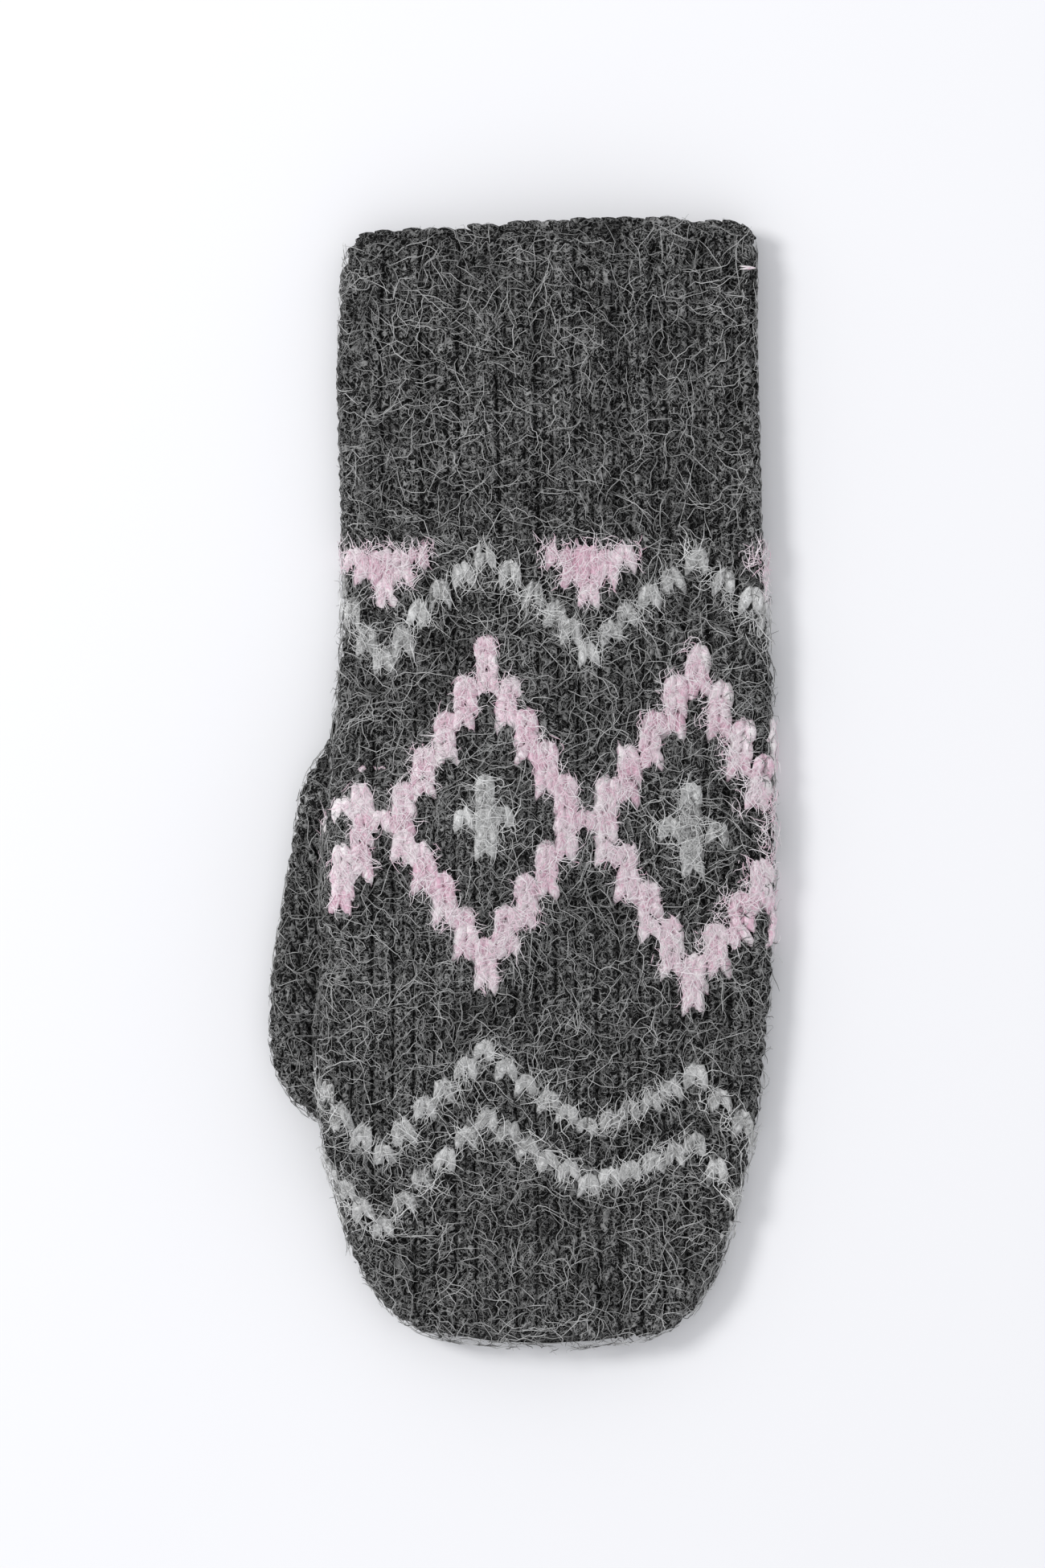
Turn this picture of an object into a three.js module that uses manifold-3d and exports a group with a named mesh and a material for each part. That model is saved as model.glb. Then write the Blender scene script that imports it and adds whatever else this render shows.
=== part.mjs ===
// A jacquard mitten for the left hand, knitted in brushed wool and lying flat with the back of the hand up.
// Its thumb is folded under the palm and shows along one side. Millimetres, +Z up.
// The cuff opens towards +Y, the fingertips point to -Y and the thumb lies on the -X side.

import * as THREE from "three";
import Module from "manifold-3d";

const wasm = await Module();
wasm.setup();

// Driving dimensions: lengths run along Y, thicknesses are of the flattened tubes with both their layers.
const handLength = 178.8; // from the end of the ribbing to the fingertips
const handWidth = 100.6;
const handThick = 16;
const handFold = 11; // thickness at the folded side edges
const handWall = 2.8; // one layer of knitting

const cuffLength = 71.4;
const cuffWidth = 93.5;
const cuffThick = 15;
const cuffFold = 11;
const cuffWall = 3;
const castOnSlant = 3.1; // the cast-on edge runs this much further out on the little-finger side
const castOnRound = 1.6; // how far back the rounding of the cast-on edge starts

const ribCount = 23; // one knit and one purl column each
const ribDepth = 1;

const thumbLength = 82.8; // from its slit in the palm
const thumbWidth = 32.6;
const thumbThick = 11.6;
const thumbFold = 10.6;
const thumbWall = 2.6;
const slitFromCuff = 47; // the thumb's slit, measured from the end of the ribbing
const slitFromMiddle = 34.8; // middle of the slit, measured sideways from the middle of the hand
const slitDepth = 10; // how far the thumb's tube reaches back into the hand before it is cut

const seamGap = 0.3; // between pieces that are joined by a seam

// How the palm and the back of the hand drape over the thumb that lies under them.
// Columns: start and end of the rise past the slit, of the fall past the thumb's tip,
// and of the slope past the thumb's inner side.
const drape = {
  palm: { riseFrom: 0, riseTo: 12, fallFrom: -5, fallTo: 22, slopeFrom: -1, slopeTo: 23 },
  back: { riseFrom: -20, riseTo: 15, fallFrom: -15, fallTo: 34, slopeFrom: -9, slopeTo: 43 },
};

// Sections of the hand. along: share of its length from the cuff; middle and half: the middle of the
// section and half its width, as shares of the hand's width; thick: share of the hand's thickness.
const handRows = [
  { along: 0, middle: 0.0025, half: 0.4677, thick: 0.93 },
  { along: 0.118, middle: 0.0065, half: 0.4756, thick: 0.96 },
  { along: 0.24, middle: 0.0035, half: 0.4856, thick: 1 },
  { along: 0.348, middle: -0.0045, half: 0.4955, thick: 1 },
  { along: 0.452, middle: -0.01, half: 0.498, thick: 1 },
  { along: 0.556, middle: -0.0155, half: 0.4975, thick: 1 },
  { along: 0.66, middle: -0.024, half: 0.4886, thick: 1 },
  { along: 0.719, middle: -0.029, half: 0.4796, thick: 0.99 },
  { along: 0.761, middle: -0.031, half: 0.4662, thick: 0.98 },
  { along: 0.831, middle: -0.031, half: 0.4384, thick: 0.96 },
  { along: 0.883, middle: -0.031, half: 0.4105, thick: 0.94 },
  { along: 0.9175, middle: -0.0265, half: 0.3812, thick: 0.92 },
  { along: 0.952, middle: -0.0245, half: 0.3365, thick: 0.9 },
  { along: 0.9696, middle: -0.023, half: 0.3012, thick: 0.9 },
  { along: 0.987, middle: -0.02, half: 0.2366, thick: 0.88 },
  { along: 0.9955, middle: -0.022, half: 0.155, thick: 0.88 },
  { along: 1, middle: -0.025, half: 0, thick: 0.88 },
];

// Sections of the thumb. along: share of its length from the slit; lean: how far the middle leans out,
// as a share of the length; half: half the width as a share of the thumb's width.
const thumbRows = [
  { along: -0.18, lean: 0, half: 0.4 },
  { along: -0.05, lean: 0, half: 0.43 },
  { along: 0, lean: 0, half: 0.5 },
  { along: 0.026, lean: 0.0103, half: 0.534 },
  { along: 0.064, lean: 0.0236, half: 0.558 },
  { along: 0.101, lean: 0.0326, half: 0.563 },
  { along: 0.173, lean: 0.0441, half: 0.561 },
  { along: 0.364, lean: 0.0857, half: 0.532 },
  { along: 0.585, lean: 0.132, half: 0.5 },
  { along: 0.739, lean: 0.146, half: 0.483 },
  { along: 0.814, lean: 0.147, half: 0.463 },
  { along: 0.889, lean: 0.147, half: 0.396 },
  { along: 0.927, lean: 0.147, half: 0.331 },
  { along: 0.964, lean: 0.147, half: 0.236 },
  { along: 0.989, lean: 0.147, half: 0.13 },
  { along: 1, lean: 0.147, half: 0 },
];

// Sections of the cuff. along: share of its length from the hand; middle and half as for the hand,
// as shares of the cuff's width.
const cuffRows = [
  { along: 0, middle: 0.0025, half: 0.5 },
  { along: 0.3, middle: -0.003, half: 0.4995 },
  { along: 0.62, middle: -0.009, half: 0.5 },
  { along: 0.88, middle: -0.0055, half: 0.496 },
  { along: 1, middle: -0.003, half: 0.489 },
];

// Where the rings of the hand stand: shares of the way to the slit, of the rise past it, and of the
// rest of the way to the fingertips.
const palmRings = [0, 0.2, 0.42, 0.64, 0.84];
const riseRings = [0, 0.25, 0.5, 0.75, 1];
const fingerRings = [
  0.1, 0.21, 0.31, 0.42, 0.51, 0.57, 0.62, 0.67, 0.72, 0.775, 0.82, 0.866, 0.903, 0.933, 0.955,
  0.9715, 0.985, 0.994, 0.9988,
];
const slitEnd = slitFromCuff + drape.palm.riseTo;
const handRings = [
  ...palmRings.map((share) => share * slitFromCuff),
  ...riseRings.map((share) => slitFromCuff + share * drape.palm.riseTo),
  ...fingerRings.map((share) => slitEnd + share * (handLength - slitEnd)),
].map((distance) => distance / handLength);

// The same for the thumb and the cuff, as shares of their lengths.
const thumbRings = [
  -0.05, 0, 0.03, 0.07, 0.12, 0.18, 0.3, 0.44, 0.58, 0.7, 0.8, 0.86, 0.91, 0.95,
  0.976, 0.991, 0.998,
];
const cuffRings = [0, 0.3, 0.62, 0.88];
const castOnTurns = [0, 0.25, 0.5, 0.75, 1]; // halfway is the very edge

const pointsPerRib = 4;
const handPoints = 52;
const hollowPoints = 40;
const thumbPoints = 30;
const bendPoints = 12; // along the crowned top of a section
const curvePoints = 240; // along a side curve
const tipHollowShare = 0.6; // least width of a hollow, as a share of the outside, where a tip closes

const { lerp, smoothstep } = THREE.MathUtils;

// A smooth curve through one column of a table, read at any share along.
function columnCurve(rows, column) {
  const through = rows.map((row) => new THREE.Vector2(row[column], row.along));
  const points = new THREE.SplineCurve(through).getPoints(curvePoints);
  return (along) => {
    const end = points.findIndex((point) => point.y >= along);
    if (end < 0) return points[points.length - 1].x;
    if (end === 0) return points[0].x;
    const from = points[end - 1];
    const to = points[end];
    return lerp(from.x, to.x, (along - from.y) / (to.y - from.y));
  };
}

const handMiddle = columnCurve(handRows, "middle");
const handHalf = columnCurve(handRows, "half");
const handSwell = columnCurve(handRows, "thick");
const thumbLean = columnCurve(thumbRows, "lean");
const thumbHalf = columnCurve(thumbRows, "half");
const cuffMiddle = columnCurve(cuffRows, "middle");
const cuffHalf = columnCurve(cuffRows, "half");

// One section of a flattened tube as [x, z] points: flat below, a round fold at each side, crowned above.
function section({ middle, half, thick, fold }, count) {
  const rise = fold / 2;
  const reach = Math.min(rise, half / 2);
  const left = middle - half + reach;
  const right = middle + half - reach;
  const crown = [];
  for (let i = 1; i <= bendPoints; i++) {
    const t = i / bendPoints;
    const height = fold + (thick - fold) * Math.sin(Math.PI * t) ** 2;
    crown.push(new THREE.Vector2(lerp(right, left, t), height));
  }
  const path = new THREE.Path();
  path.moveTo(left, 0);
  path.lineTo(right, 0);
  path.absellipse(right, rise, reach, rise, -Math.PI / 2, Math.PI / 2, false, 0);
  path.splineThru(crown);
  path.absellipse(left, rise, reach, rise, Math.PI / 2, (3 * Math.PI) / 2, false, 0);
  return path.getSpacedPoints(count).slice(0, count);
}

// A loft through rings of equally many [x, y, z] points, given from +Y to -Y, with both ends closed.
function loft(rings) {
  const around = rings[0].length;
  const centreOf = (ring) => [0, 1, 2].map((k) => ring.reduce((sum, p) => sum + p[k], 0) / around);
  const points = [...rings.flat(), centreOf(rings[0]), centreOf(rings[rings.length - 1])];
  const firstCentre = rings.length * around;
  const lastStart = firstCentre - around;
  const triangles = [];
  for (let j = 0; j < around; j++) {
    const next = (j + 1) % around;
    triangles.push(firstCentre, next, j);
    triangles.push(firstCentre + 1, lastStart + j, lastStart + next);
    for (let start = 0; start < lastStart; start += around) {
      triangles.push(...band(start, start + around, j, next));
    }
  }
  return meshOf(points, triangles);
}

// A loft whose last ring joins its first one, as round a tube's wall.
function closedLoft(rings) {
  const around = rings[0].length;
  const total = rings.length * around;
  const triangles = [];
  for (let start = 0; start < total; start += around) {
    for (let j = 0; j < around; j++) {
      triangles.push(...band(start, (start + around) % total, j, (j + 1) % around));
    }
  }
  return meshOf(rings.flat(), triangles);
}

// The two triangles between two rings, from one point along them to the next.
function band(start, low, j, next) {
  return [start + j, start + next, low + j, start + next, low + next, low + j];
}

function meshOf(points, triangles) {
  const geometry = new THREE.BufferGeometry();
  geometry.setAttribute("position", new THREE.Float32BufferAttribute(points.flat(), 3));
  geometry.setIndex(triangles);
  return geometry;
}

function solidOf(geometry) {
  return new wasm.Manifold(
    new wasm.Mesh({
      numProp: 3,
      vertProperties: geometry.attributes.position.array,
      triVerts: new Uint32Array(geometry.index.array),
    }),
  );
}

function geometryOf(solid) {
  const mesh = solid.getMesh();
  const geometry = new THREE.BufferGeometry();
  geometry.setAttribute("position", new THREE.BufferAttribute(mesh.vertProperties, 3));
  geometry.setIndex(new THREE.BufferAttribute(mesh.triVerts, 1));
  geometry.computeVertexNormals();
  return geometry;
}

// How round the closed end of a tube is, a distance before its end: 0 at the end, 1 past the rounding.
function tipRounding(toEnd, radius) {
  return toEnd >= radius ? 1 : Math.sqrt(1 - (1 - Math.max(toEnd, 0) / radius) ** 2);
}

const thumbInnerSide = (along) =>
  -slitFromMiddle - thumbLean(along) * thumbLength + thumbHalf(along) * thumbWidth;

// How far one layer of the hand is lifted by the thumb under it.
function liftAt(x, distance, layer) {
  const pastSlit = distance - slitFromCuff;
  const pastTip = pastSlit - thumbLength;
  const widest = Math.min(Math.max(pastSlit / thumbLength, 0.1), 0.82);
  const pastSide = x - thumbInnerSide(widest);
  const rise = smoothstep(pastSlit, layer.riseFrom, layer.riseTo);
  const fall = 1 - smoothstep(pastTip, layer.fallFrom, layer.fallTo);
  const slope = 1 - smoothstep(pastSide, layer.slopeFrom, layer.slopeTo);
  return (thumbThick + seamGap) * rise * fall * slope;
}

// Half the width of a section one wall in: less than a wall where the tip closes.
function insetHalf(outer, inset) {
  return inset > 0 ? Math.max(outer - inset, outer * tipHollowShare) : outer - inset;
}

// The hand as a closed loft. inset makes its hollow, one wall inside it, and a negative inset makes it
// larger, to cut what lies against its sides and under it. overrun lengthens its open end.
function handTube({ inset = 0, count, overrun = 0 }) {
  const length = handLength - Math.max(inset, 0);
  const rings = handRings.map((share) => {
    const joined = smoothstep(share, 0, 0.2);
    const outerHalf = lerp(cuffWidth / 2, handHalf(share) * handWidth, joined);
    const shape = {
      middle: handMiddle(share) * handWidth,
      half: insetHalf(outerHalf, inset),
      thick: lerp(cuffThick, handSwell(share) * handThick, joined) - 2 * inset,
      fold: lerp(cuffFold, handFold, joined) - 2 * inset,
    };
    const distance = share === 0 ? -overrun : share * length;
    const round = tipRounding(length * (1 - share), shape.fold / 2);
    const lifted = distance + Math.min(inset, 0);
    return section(shape, count).map(({ x, y: height }) => {
      const flat = lerp(shape.fold / 2, height, round) + inset;
      const lift = lerp(liftAt(x, lifted, drape.palm), liftAt(x, lifted, drape.back), height / shape.thick);
      return [x, -distance, flat + lift];
    });
  });
  return loft(rings);
}

// The thumb as a closed loft, from inside the hand to its tip; inset makes its hollow.
function thumbTube(inset) {
  const length = thumbLength - inset;
  const rings = [-slitDepth / thumbLength, ...thumbRings].map((share) => {
    const outer = thumbHalf(share) * thumbWidth;
    const shape = {
      middle: -slitFromMiddle - thumbLean(share) * thumbLength,
      half: insetHalf(outer, inset),
      thick: thumbThick - 2 * inset,
      fold: thumbFold - 2 * inset,
    };
    const distance = slitFromCuff + share * length;
    const round = tipRounding(length * (1 - share), shape.fold / 2);
    return section(shape, thumbPoints).map(({ x, y: height }) => [
      x,
      -distance,
      lerp(shape.fold / 2, height, round) + inset,
    ]);
  });
  return loft(rings);
}

// A ring of the cuff at a share along it, a distance in from its outside. Only the outside has ribs.
function cuffRing(share, inset, furrowDepth) {
  const shape = {
    middle: cuffMiddle(share) * cuffWidth,
    half: cuffHalf(share) * cuffWidth - inset,
    thick: cuffThick - 2 * inset,
    fold: cuffFold - 2 * inset,
  };
  const count = ribCount * pointsPerRib;
  const points = section(shape, count);
  return points.map((point, i) => {
    const before = points[(i + count - 1) % count];
    const after = points[(i + 1) % count];
    const inward = new THREE.Vector2(before.y - after.y, after.x - before.x).normalize();
    const furrow = 0.5 - 0.5 * Math.cos((2 * Math.PI * i) / pointsPerRib);
    const { x, y: height } = point.clone().addScaledVector(inward, furrowDepth * furrow);
    const reach = cuffLength - castOnSlant * (0.5 - x / cuffWidth);
    return [x, seamGap + share * (reach - seamGap), height + inset];
  });
}

// The cuff: a ribbed tube, open at both ends. Its rings run up the outside, round the cast-on edge,
// back down the inside and meet the first ring again.
function cuffSolid() {
  const outside = cuffRings.map((share) => cuffRing(share, 0, ribDepth));
  const edge = castOnTurns.map((turn) => {
    const angle = turn * Math.PI;
    const share = 1 - (castOnRound * (1 - Math.sin(angle))) / cuffLength;
    const inset = (cuffWall / 2) * (1 - Math.cos(angle));
    return cuffRing(share, inset, ribDepth * (1 - turn));
  });
  const inside = cuffRings.map((share) => cuffRing(share, cuffWall, 0)).reverse();
  return solidOf(closedLoft([...outside, ...edge, ...inside].reverse()));
}

// The thumb's hollow, which opens into the hand.
const thumbHollow = solidOf(thumbTube(thumbWall));

// The hand: hollow, open towards the cuff and into the thumb.
function handSolid() {
  const hollow = solidOf(handTube({ inset: handWall, count: hollowPoints, overrun: handWall }));
  return solidOf(handTube({ count: handPoints })).subtract(hollow).subtract(thumbHollow);
}

// The thumb: hollow, closed at its tip and cut off where it comes out of the palm.
function thumbSolid() {
  const palm = solidOf(handTube({ inset: -seamGap, count: handPoints }));
  return solidOf(thumbTube(0)).subtract(thumbHollow).subtract(palm);
}

const wool = (color) => new THREE.MeshStandardMaterial({ color, roughness: 1, metalness: 0 });

function addPiece(group, name, solid, color) {
  const mesh = new THREE.Mesh(geometryOf(solid), wool(color));
  mesh.name = name;
  group.add(mesh);
}

const mitten = new THREE.Group();
mitten.name = "mitten";
addPiece(mitten, "cuff", cuffSolid(), "#48484b");
addPiece(mitten, "hand", handSolid(), "#505053");
addPiece(mitten, "thumb", thumbSolid(), "#434346");

// The origin is the middle of the mitten's outline, on the surface that it lies on.
const box = new THREE.Box3().setFromObject(mitten);
const middle = box.getCenter(new THREE.Vector3());
mitten.position.set(-middle.x, -middle.y, -box.min.z);

export default mitten;
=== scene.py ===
# A jacquard mitten in brushed wool, lying flat with the back of the hand up: the looks over its CAD frame.
import math

import bmesh
import bpy
import numpy as np
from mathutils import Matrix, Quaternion, Vector
from mathutils.bvhtree import BVHTree


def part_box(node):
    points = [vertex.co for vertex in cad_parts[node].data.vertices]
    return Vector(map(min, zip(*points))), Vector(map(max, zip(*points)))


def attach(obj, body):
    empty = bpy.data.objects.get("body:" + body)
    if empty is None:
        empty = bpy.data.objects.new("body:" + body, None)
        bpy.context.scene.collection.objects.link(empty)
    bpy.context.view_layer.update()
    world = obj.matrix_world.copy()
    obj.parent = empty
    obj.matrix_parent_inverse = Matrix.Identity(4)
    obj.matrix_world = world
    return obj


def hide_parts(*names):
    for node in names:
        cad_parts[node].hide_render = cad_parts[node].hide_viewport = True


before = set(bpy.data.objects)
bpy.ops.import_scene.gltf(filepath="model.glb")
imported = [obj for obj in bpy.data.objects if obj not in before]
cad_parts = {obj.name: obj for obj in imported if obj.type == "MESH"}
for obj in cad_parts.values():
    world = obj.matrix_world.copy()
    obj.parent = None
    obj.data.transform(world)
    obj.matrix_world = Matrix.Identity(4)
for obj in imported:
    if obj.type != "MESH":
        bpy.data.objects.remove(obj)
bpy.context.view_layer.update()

mm = 0.001  # the frame is in metres
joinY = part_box("hand")[1][1]  # where the ribbing ends and the pattern starts
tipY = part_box("hand")[0][1]
print("frame loaded: the hand is", round((joinY - tipY) / mm, 1), "mm long")


# A node of any kind, with its settings and its links or values, by socket name or number or in order.
# A node given as a value stands for its first output.
def addNode(tree, kind, sockets=(), **settings):
    node = tree.nodes.new(kind)
    for name, value in settings.items():
        setattr(node, name, value)
    for name, value in sockets.items() if isinstance(sockets, dict) else enumerate(sockets):
        if isinstance(value, bpy.types.Node):
            value = value.outputs[0]
        if isinstance(value, bpy.types.NodeSocket):
            tree.links.new(value, node.inputs[name])
        else:
            node.inputs[name].default_value = value
    return node


# An sRGB hex code as the linear colour that shaders take.
def linear(code):
    parts = [int(code[i:i + 2], 16) / 255 for i in (1, 3, 5)]
    return [p / 12.92 if p <= 0.04045 else ((p + 0.055) / 1.055) ** 2.4 for p in parts] + [1]


def setRamp(node, stops):
    ramp = node.color_ramp
    while len(ramp.elements) < len(stops):
        ramp.elements.new(0.5)
    for element, (place, code) in zip(ramp.elements, stops):
        element.position = place
        element.color = linear(code)


# The shape of the frame's tubes, read back as outlines across the mitten.

outlines = {
    "step": 2.0 * mm,
    "samples": 70,
    "endGap": 0.25 * mm,
    "foldZone": 9 * mm,       # a tube's sides, where no slit is looked for
    "oneLayer": 3.6 * mm,     # what is thinner than this has the slit below it
    "rimDepth": 6 * mm,       # how far below its top the cuff's outlines end
    "thumbDepth": 3 * mm,
}


# Where a mesh meets a plane across the mitten: one row per cut triangle, x and z at both its ends.
def cutAcross(triangles, y):
    heights = triangles[:, :, 1] - y
    crossed = triangles[(heights.min(1) < 0) & (heights.max(1) > 0)]
    pieces = []
    for corner in range(3):
        a, b = crossed[:, corner], crossed[:, (corner + 1) % 3]
        span = b[:, 1] - a[:, 1]
        meets = (a[:, 1] - y) * (b[:, 1] - y) < 0
        share = np.where(meets, (y - a[:, 1]) / np.where(span == 0, 1, span), np.nan)
        pieces.append((a + (b - a) * share[:, None])[:, (0, 2)])
    ends = np.stack(pieces, 1)
    order = np.argsort(np.isnan(ends[:, :, 0]), axis=1, kind="stable")[:, :2]
    ends = np.take_along_axis(ends, order[:, :, None], 1)
    return ends.reshape(-1, 4)


# The outside of a tube at one y: points from its left edge over the top to the right and back below.
def outlineAt(triangles, y):
    cuts = cutAcross(triangles, y)
    x1, z1, x2, z2 = cuts[:, 0], cuts[:, 1], cuts[:, 2], cuts[:, 3]
    low, high = min(x1.min(), x2.min()), max(x1.max(), x2.max())
    turns = np.linspace(0, math.pi, outlines["samples"])
    xs = (low + high) / 2 - np.cos(turns) * (high - low) / 2 * 0.9995
    crossing = (np.minimum(x1, x2)[:, None] <= xs) & (np.maximum(x1, x2)[:, None] >= xs)
    slope = (z2 - z1) / np.where(x2 == x1, 1, x2 - x1)
    z = z1[:, None] + slope[:, None] * (xs - x1[:, None])
    top = np.where(crossing, z, -1).max(0)
    bottom = np.where(crossing, z, 1).min(0)
    met = crossing.any(0)  # the slanted open end of the thumb leaves some places out
    top, bottom = np.interp(xs, xs[met], top[met]), np.interp(xs, xs[met], bottom[met])
    inner = (xs > low + outlines["foldZone"]) & (xs < high - outlines["foldZone"])
    gap = inner & (top - bottom < outlines["oneLayer"])  # the thumb's slit is below
    if gap.any():
        bottom = np.interp(xs, xs[~gap], bottom[~gap])
    line = np.concatenate([np.stack([xs, top], 1), np.stack([xs, bottom], 1)[::-1]])
    line = np.concatenate([line, line[:1]])
    arcs = np.concatenate([[0], np.cumsum(np.hypot(*np.diff(line, axis=0).T))])
    return {
        "line": line, "arcs": arcs, "turn": arcs[len(xs) - 1],
        "gaps": np.concatenate([gap * 0, gap[::-1], [0]]),
        "low": low, "high": high,
    }


# All the outlines of a node, and how to find a place on them.
def tubeOf(node, lowY, highY):
    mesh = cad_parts[node].data
    mesh.calc_loop_triangles()
    points = np.zeros(len(mesh.vertices) * 3)
    mesh.vertices.foreach_get("co", points)
    corners = np.zeros(len(mesh.loop_triangles) * 3, int)
    mesh.loop_triangles.foreach_get("vertices", corners)
    triangles = points.reshape(-1, 3)[corners.reshape(-1, 3)]
    count = int((highY - lowY) / outlines["step"]) + 2
    ys = np.linspace(lowY + outlines["endGap"], highY - outlines["endGap"], count)
    return {"ys": ys, "rings": [outlineAt(triangles, y + 1e-7) for y in ys]}


# Arc length along a ring at the columns' zero line, on the upper or the lower layer.
def zeroArc(ring, x, lower):
    half = len(ring["line"]) // 2
    part = slice(half, None) if lower else slice(half)
    line, arcs = ring["line"][part], ring["arcs"][part]
    return float(np.interp(-x, -line[:, 0], arcs) if lower else np.interp(x, line[:, 0], arcs))


# The point at a length along the outline from the zero line, at any y, with how open the slit is there.
def placeAt(tube, along, y, zeroX, lower=False):
    ys, rings = tube["ys"], tube["rings"]
    y = min(max(y, ys[0]), ys[-1])
    i = min(max(int(np.searchsorted(ys, y)) - 1, 0), len(ys) - 2)
    share = (y - ys[i]) / (ys[i + 1] - ys[i])
    found = []
    for ring in rings[i:i + 2]:
        arc = (zeroArc(ring, zeroX, lower) + along) % ring["arcs"][-1]
        found.append([np.interp(arc, ring["arcs"], values) for values in (*ring["line"].T, ring["gaps"])])
    x, z, gap = np.array(found[0]) * (1 - share) + np.array(found[1]) * share
    return Vector((x, y, z)), gap


# Place, outward normal and direction towards the cuff of one stitch.
def frameAt(tube, along, y, zeroX, lower=False, reach=1.5 * mm):
    here, gap = placeAt(tube, along, y, zeroX, lower)
    ahead, behind = (placeAt(tube, along + s, y, zeroX, lower)[0] for s in (reach, -reach))
    up, down = (placeAt(tube, along, y + s, zeroX, lower)[0] for s in (reach, -reach))
    facing = (ahead - behind).cross(up - down)
    return here, facing.normalized(), (up - down).normalized(), gap


handTube = tubeOf("hand", tipY, joinY)
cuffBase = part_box("cuff")[0][1]
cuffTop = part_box("cuff")[1][1]
cuffTube = tubeOf("cuff", cuffBase, cuffTop - outlines["rimDepth"])
thumbTube = tubeOf("thumb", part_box("thumb")[0][1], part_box("thumb")[1][1] - outlines["thumbDepth"])
print("outlines read from the frame:", *(len(tube["rings"]) for tube in (handTube, cuffTube, thumbTube)))


# The chart: a common Nordic pattern of triangles, a zigzag, diamonds and a double zigzag.

knit = {
    "pitch": 4.57 * mm,       # from column to column
    "rowPitch": 3.75 * mm,
    "repeat": 10,             # columns from one diamond to the next
    "zeroX": -8.0 * mm,       # middle of the first diamond on the back
    "palmZeroX": 22.0 * mm,   # middle of a diamond on the palm
    "palmColumn": 20,         # its column
    "widest": 24,             # columns looked at on each side of the zero line
    "rows": 48,
    "triangleRows": 3,
    "diamondRow": 5,          # the first row of the diamonds
    "diamondHeight": 21,
    "lowerRow": 29,           # the peaks of the double zigzag
    "lowerGap": 4,
    "edgeRows": {-6: (13, 18), -7: (17, 20), -8: ()},  # the diamond is cut short where the thumb starts
    "edgeStitch": (-7, 14),
}

# How far some rows lie from the ribbing, at five places across the back, in mm. Brushing and wearing
# have pulled the rows a little out of line, more so towards the fingertips.
acrossPlaces = {"left": -31.3, "first": -8.0, "valley": 14.4, "second": 37.4, "right": 52.6}
rowPlaces = [
    {"row": 0, "left": 3.6, "first": 3.2, "valley": 3.6, "second": 4.4, "right": 5.2},
    {"row": 2, "left": 11.0, "first": 11.5, "valley": 12.1, "second": 12.4, "right": 13.6},
    {"row": 5, "left": 27.0, "first": 23.9, "valley": 24.8, "second": 24.5, "right": 26.3},
    {"row": 15, "left": 62.1, "first": 60.6, "valley": 61.8, "second": 63.7, "right": 65.2},
    {"row": 25, "left": 97.2, "first": 96.9, "valley": 98.5, "second": 101.3, "right": 102.5},
    {"row": 29, "left": 112.7, "first": 112.4, "valley": 113.6, "second": 118.3, "right": 121.1},
    {"row": 34, "left": 135.6, "first": 130.2, "valley": 129.6, "second": 136.0, "right": 143.0},
    {"row": 38, "left": 152.0, "first": 145.0, "valley": 141.5, "second": 151.6, "right": 161.0},
    {"row": 48, "left": 181.0, "first": 181.0, "valley": 180.0, "second": 184.0, "right": 188.0},
]
tableX = np.array(list(acrossPlaces.values())) * mm
tableRows = [place["row"] for place in rowPlaces]
tableDistances = np.array([[place[name] for name in acrossPlaces] for place in rowPlaces]) * mm


def distancesAt(x):
    return np.array([np.interp(x, tableX, line) for line in tableDistances])


def yOfRow(row, x):
    return joinY - float(np.interp(row, tableRows, distancesAt(x)))


def rowOfY(y, x):
    return float(np.interp(joinY - y, distancesAt(x), tableRows))


# The yarn of one stitch.
def yarnAt(column, row, lower=False):
    if not lower and column < -5 and knit["diamondRow"] <= row < knit["diamondRow"] + knit["diamondHeight"]:
        rows = knit["edgeRows"].get(column, ())
        inEdge = rows and rows[0] <= row <= rows[1]
        return "pink" if inEdge or (column, row) == knit["edgeStitch"] else "charcoal"
    fromMiddle = column % knit["repeat"]
    fromMiddle = min(fromMiddle, knit["repeat"] - fromMiddle)
    half = knit["repeat"] // 2
    if row < knit["triangleRows"] and fromMiddle >= half - 2 + row:
        return "pink"
    inDiamond = row - knit["diamondRow"]
    mirrored = min(inDiamond, knit["diamondHeight"] - 1 - inDiamond)
    if 0 <= mirrored:
        if fromMiddle < half and 0 <= mirrored - 2 * fromMiddle <= 2:
            return "pink"
        if fromMiddle == half and mirrored == half * 2:
            return "pink"
        if (fromMiddle == 0 and mirrored >= 8) or (fromMiddle == 1 and mirrored == 10):
            return "grey"
    if row == fromMiddle or row - knit["lowerRow"] in (fromMiddle, fromMiddle + knit["lowerGap"]):
        return "grey"
    return "charcoal"


yarns = {
    "charcoal": {"shadow": "#060606", "body": "#111111", "light": "#232323", "hair": "#b2b2b1", "haze": 0.62},
    "pink": {"shadow": "#e4bccd", "body": "#f5e5ec", "light": "#fbf6f6", "hair": "#fffafc", "haze": 0.4},
    "grey": {"shadow": "#727271", "body": "#c6c6c5", "light": "#ebebea", "hair": "#fafaf9", "haze": 0.6},
    "backing": {"shadow": "#0c0c0c", "body": "#151515", "light": "#242424", "hair": "#727271", "haze": 0.6},
}


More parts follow.
